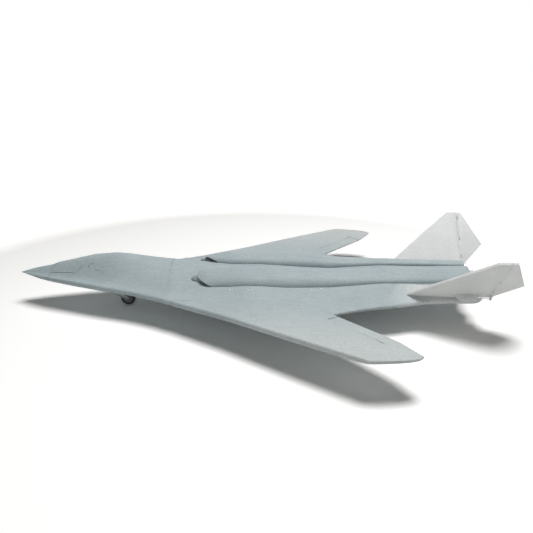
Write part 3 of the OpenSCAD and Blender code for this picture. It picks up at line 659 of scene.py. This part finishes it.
def bay_cutter(side):
    """The elevon's bay, round where the elevon's nose turns."""
    axes = elevon_axes(side)
    bm = bmesh.new()
    reach = ELEVON_HALF + 0.6
    rod(bm, (0, -reach, 0), (0, reach, 0), 3.4, 32, axes)
    block(bm, (0, -reach, -20), (60, reach, 20), axes)
    return bm


def servo_cutter(side):
    """The pocket for the wing servo, open below."""
    axes = elevon_axes(side)
    bm = bmesh.new()
    block(bm, (-59, -48, -20), (-37, -26, 3.95), axes)
    return bm


def arm_cutter(side):
    """Clearance for the servo arm and for the elevon horn, open below."""
    axes = elevon_axes(side)
    bm = bmesh.new()
    block(bm, (-52, -27, -20), (-36, -15, 3.8), axes)
    block(bm, (-4, -25.5, -20), (2, -19.5, -1.5), axes)
    return bm


def make_wing(label, side):
    def shape(u, v):
        y = ROOT + (TIP - ROOT) * (1 - (1 - v) ** 1.7)
        front, back = leading(y), trailing(y)
        chord = max(back - front, 4.0)
        turn = 2 * math.pi * u
        q = (1 + math.cos(turn)) / 2
        half = wing_half(q, y)
        nose = min(wing_lead(y) / chord, 0.3)
        tail = min(wing_trail(y) / chord, 0.3)
        if q < nose:
            half *= math.sqrt(max(1 - (1 - q / nose) ** 2, 0))
        if q > 1 - tail:
            half *= math.sqrt(max(1 - ((q - 1 + tail) / tail) ** 2, 0))
        half *= math.sqrt(max(1 - max((y - 333.0) / 4.6, 0) ** 2, 0.05))
        sign = 1 if math.sin(turn) >= 0 else -1
        return place(front + q * chord, side * y, wing_z(y) + sign * half)
    bm = shaped_grid(150, 110, shape)
    close_ends(bm)
    piece = new_piece(label + "_wing_skin", bm, "airframe", [SKIN_RESIN],
                      [label + "_wing_panel"])
    for cutter in (bay_cutter, servo_cutter, arm_cutter):
        cut_away(piece, cutter(side))
    make_lugs(label, side)


def make_lugs(label, side):
    axes = elevon_axes(side)
    bm = bmesh.new()
    for y in (-45, 2, 45):
        rod(bm, (0, y - 3, 0), (0, y + 3, 0), 2.4, 24, axes)
        block(bm, (-4.2, y - 2.98, -1.8), (-0.2, y + 2.98, 1.8), axes)
    bmesh.ops.recalc_face_normals(bm, faces=bm.faces)
    new_piece(label + "_elevon_lugs", bm, "airframe", [SKIN_RESIN])


# ---- Tail booms ----------------------------------------------------------------------------------------
def make_boom(label, side):
    front, back, taper = 713.4, 908.0, 22.0

    def shape(u, v):
        s = front + (back - front) * v
        inner = center_edge(s)
        turn = 2 * math.pi * u
        share = (1 + math.cos(turn)) / 2
        y = inner + (edge(s) - inner) * share
        top, low = upper_z(y, s), lower_z(y, s)
        z = top if math.sin(turn) >= 0 else low
        past = max((s - back + taper) / taper, 0.0)
        slim = math.sqrt(max(1 - 0.75 * past ** 2, 0))
        middle = (top + low) / 2
        return place(s, side * (inner + (y - inner) * slim), middle + (z - middle) * slim)
    bm = shaped_grid(96, 110, shape)
    close_ends(bm)
    # The booms take the resin that is painted lighter aft, as painted light on their shaded sides.
    new_piece(label + "_boom_skin", bm, "airframe", [BOOM_PAINTED_LIGHT_RESIN],
              [label + "_tail_boom"])


# ---- Refined copies of machined and moulded parts ----------------------------------------------------------
def refined(node, materials, bevel=0.4, segments=2, angle=28, paint=None):
    """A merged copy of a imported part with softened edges."""
    source = frame["nodes"][node]
    bm = bmesh.new()
    bm.from_mesh(source.data)
    bmesh.ops.transform(bm, matrix=source.matrix_world, verts=bm.verts)
    bmesh.ops.remove_doubles(bm, verts=bm.verts, dist=2e-6)
    bmesh.ops.dissolve_limit(bm, angle_limit=math.radians(1.0), verts=bm.verts,
                             edges=bm.edges)
    limit = math.radians(angle)
    sharp = [e for e in bm.edges if e.is_manifold and e.calc_face_angle(0) > limit]
    if bevel and sharp:
        bmesh.ops.bevel(bm, geom=sharp, offset=bevel * MM, segments=segments, profile=0.5,
                        affect="EDGES", material=-1, clamp_overlap=True)
    if paint:
        for face in bm.faces:
            face.material_index = paint(face.calc_center_median())
    body = next(b for b, names in frame["record"]["behaviour"]["bodies"].items()
                if node in names)
    return new_piece(node + "_finish", bm, body, materials, [node])


TAIL_CANT = math.radians(42)
FIN_HEIGHT = 126.6
RUDDER_LUGS = (20, 62, 112)
FAIRING_FRONT = -64.0
FAIRING_LENGTH = 38.0


def tail_axes(side):
    """Local axes of a fin's hinge in metres: X aft, Y square to the fin, Z along the hinge."""
    move = Matrix.Translation(place(913.8, 84, 68))
    return (Matrix.Diagonal((1, side, 1, 1)) @ move @ Matrix.Rotation(-TAIL_CANT, 4, "X")
            @ Matrix.Scale(MM, 4))


def make_fin(label):
    """The fin, its rear edge hollowed to wrap round the ruddervator's nose."""
    axes = tail_axes(SIDES[label])
    fin = refined(label + "_tail_fin", [TAIL_PAINTED_LIGHT_RESIN], 0.7, 3)
    strip = bmesh.new()
    block(strip, (-4.5, -2.2, 1.2), (-0.45, 2.2, FIN_HEIGHT - 0.2), axes)
    join(fin, strip)
    hollow = bmesh.new()
    rod(hollow, (0, 0, 0), (0, 0, FIN_HEIGHT + 1), 2.42, 40, axes)
    cut_away(fin, hollow)
    knuckles = bmesh.new()
    for z in RUDDER_LUGS:
        rod(knuckles, (0, 0, z - 3.1), (0, 0, z + 3.1), 2.1, 32, axes)
        block(knuckles, (-3.2, -2.0, z - 3.05), (1.3, 2.0, z + 3.05), axes)
    join(fin, knuckles)


def make_fairing(label):
    """A slender blister over the tail servo's arm, open at the back for the rod."""
    axes = tail_axes(SIDES[label])
    reach = [(-64, 0.2), (-60, 5.5), (-52, 11.5), (-44, 13), (-36, 12.6), (-26, 11.6)]
    swell = soft_line(reach, 6)

    def shape(u, v):
        x = FAIRING_FRONT + FAIRING_LENGTH * v
        out = swell(x)
        turn = math.pi * u
        tall = 7.4 * min(1.0, (x + 64.5) / 14) ** 0.5
        z = 8.2 - tall * math.cos(turn)
        return axes @ Vector((x, 2.2 + out * math.sin(turn) ** 0.8, z))
    bm = shaped_grid(40, 48, shape)
    face_way(bm, axes.to_3x3() @ Vector((0, 1, 0)))
    piece = new_piece(label + "_fairing", bm, "airframe", [TAIL_PAINTED_LIGHT_RESIN])
    thicken(piece, 0.001)
    return piece


def make_control_surfaces(label):
    refined(label + "_elevon", [SKIN_RESIN], 0.35)
    refined(label + "_elevon_horn", [SKIN_RESIN], 0.15)
    make_fin(label)
    refined(label + "_ruddervator", [TAIL_PAINTED_LIGHT_RESIN], 0.6, 3)
    refined(label + "_ruddervator_horn", [TAIL_PAINTED_LIGHT_RESIN], 0.15)
    refined(label + "_elevon_servo_arm", [WHITE_NYLON], 0.15)
    refined(label + "_tail_servo_arm", [WHITE_NYLON], 0.15)


# ---- Scene of everything ------------------------------------------------------------------------------
make_body()
for LABEL, SIDE in SIDES.items():
    make_nacelle(LABEL, SIDE)
    make_inlet_cone(LABEL, SIDE)
    make_wing(LABEL, SIDE)
    make_boom(LABEL, SIDE)
    make_control_surfaces(LABEL)
FAIRINGS = [make_fairing(LABEL) for LABEL in SIDES]
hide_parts("actuator_fairings")
refined("battery_pack", [BATTERY_WRAP], 1.8, 4)
refined("speed_controllers", [BOARD_WRAP], 1.2, 3)
refined("receiver", [BOARD_WRAP], 1.0, 3)
refined("wing_servos", [SERVO_CASE], 0.4)
refined("tail_servos", [SERVO_CASE], 0.4)
refined("steering_servo", [SERVO_CASE], 0.5)
refined("nose_gear_mount", [NYLON], 0.4)
refined("nose_leg", [STEEL], 0.3)
refined("battery_tray", [NYLON], 0.3)


def wheel_paint(middle, radius):
    def pick(p):
        away = Vector((p.x, 0, p.z)) - Vector((middle.x, 0, middle.z))
        return 0 if away.length > radius * 0.57 else 1
    return pick


for NODE in ("nose_wheel", "left_main_wheel", "right_main_wheel"):
    LOW, HIGH = (Vector(c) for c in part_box(NODE))
    refined(NODE, [RUBBER, HUB], 0.3, paint=wheel_paint((LOW + HIGH) / 2, (HIGH.z - LOW.z) / 2))

KEPT = {"nose_former": SKIN_RESIN, "canopy_former": SKIN_RESIN,
        "spar_carrier": NYLON, "wing_joiner_tube": CARBON, "fan_bulkhead": NYLON,
        "left_fan_housing": NYLON, "right_fan_housing": NYLON, "left_fan_rotor": NYLON,
        "right_fan_rotor": NYLON, "fan_motors": MOTOR_CAN, "left_thrust_tube": ALLOY,
        "right_thrust_tube": ALLOY, "hinge_wires": STEEL, "left_elevon_pushrod": STEEL,
        "right_elevon_pushrod": STEEL, "left_tail_pushrod": STEEL, "right_tail_pushrod": STEEL,
        "gear_screws": STEEL, "left_main_leg": STEEL, "right_main_leg": STEEL}
for NODE, MATERIAL in KEPT.items():
    mesh = frame["nodes"][NODE].data
    mesh.materials.clear()
    mesh.materials.append(MATERIAL)


# ---- Stage ---------------------------------------------------------------------------------------------
def make_floor():
    """A pale floor that the camera sees brighter with distance, so that it goes to white."""
    bm = bmesh.new()
    bmesh.ops.create_grid(bm, x_segments=1, y_segments=1, size=60.0)
    mesh = bpy.data.meshes.new("floor")
    bm.to_mesh(mesh)
    bm.free()
    floor = bpy.data.objects.new("floor", mesh)
    bpy.context.scene.collection.objects.link(floor)
    material = bpy.data.materials.new("white_floor")
    material.use_nodes = True
    tree = material.node_tree
    tree.nodes.clear()
    rays = add(tree, "ShaderNodeLightPath")
    where = add(tree, "ShaderNodeTexCoord")
    away = add(tree, "ShaderNodeVectorMath", {0: where.outputs["Object"]}, operation="LENGTH")
    bright = add(tree, "ShaderNodeMapRange", {"Value": away.outputs["Value"], "From Min": 0.75,
                                              "From Max": 9.0, "To Min": 1.28,
                                              "To Max": 40.0}, interpolation_type="LINEAR")
    tone = add(tree, "ShaderNodeVectorMath", {0: (1.0, 0.995, 0.975),
                                              "Scale": bright.outputs["Result"]},
               operation="SCALE")
    plain = add(tree, "ShaderNodeBsdfDiffuse", {"Color": (0.85, 0.85, 0.84, 1)})
    seen = add(tree, "ShaderNodeBsdfDiffuse", {"Color": tone.outputs["Vector"]})
    mix = add(tree, "ShaderNodeMixShader", {0: rays.outputs["Is Camera Ray"],
                                            1: plain.outputs[0], 2: seen.outputs[0]})
    out = add(tree, "ShaderNodeOutputMaterial")
    tree.links.new(mix.outputs[0], out.inputs["Surface"])
    mesh.materials.append(material)


def soft_box(name, position, size, power):
    """A round soft lamp that faces the ground."""
    data = bpy.data.lights.new(name, "AREA")
    data.shape = "DISK"
    data.size = size
    data.energy = power
    light = bpy.data.objects.new(name, data)
    bpy.context.scene.collection.objects.link(light)
    light.location = position
    aim = Vector((position[0], position[1], 0)) - Vector(position)
    light.rotation_euler = aim.to_track_quat("-Z", "Y").to_euler()


def make_world():
    """A plain room: dim above, pale walls round it, and white where it is seen."""
    world = bpy.data.worlds.new("studio")
    bpy.context.scene.world = world
    world.use_nodes = True
    tree = world.node_tree
    tree.nodes.clear()
    rays = add(tree, "ShaderNodeLightPath")
    plain = add(tree, "ShaderNodeMath", {0: rays.outputs["Is Camera Ray"],
                                         1: rays.outputs["Is Glossy Ray"]},
                operation="MAXIMUM")
    shown = add(tree, "ShaderNodeMath", {0: plain.outputs[0],
                                         1: rays.outputs["Is Transmission Ray"]},
                operation="MAXIMUM")
    where = add(tree, "ShaderNodeTexCoord")
    split = add(tree, "ShaderNodeSeparateXYZ", {"Vector": where.outputs["Generated"]})
    level = add(tree, "ShaderNodeMapRange", {"Value": split.outputs["Z"], "From Min": 0.15,
                                             "From Max": 0.45, "To Min": 0.55, "To Max": 0.06},
                interpolation_type="SMOOTHSTEP")
    soft = add(tree, "ShaderNodeBackground", {"Color": (1, 1, 1, 1),
                                              "Strength": level.outputs["Result"]})
    white = add(tree, "ShaderNodeBackground", {"Color": (1, 1, 1, 1), "Strength": 1.0})
    mix = add(tree, "ShaderNodeMixShader", {0: shown.outputs[0], 1: soft.outputs[0],
                                            2: white.outputs[0]})
    out = add(tree, "ShaderNodeOutputWorld")
    tree.links.new(mix.outputs[0], out.inputs["Surface"])


make_floor()
soft_box("overhead", (0.32, -0.15, 2.3), 1.05, 44)
make_world()
bpy.context.scene.view_settings.view_transform = "Standard"
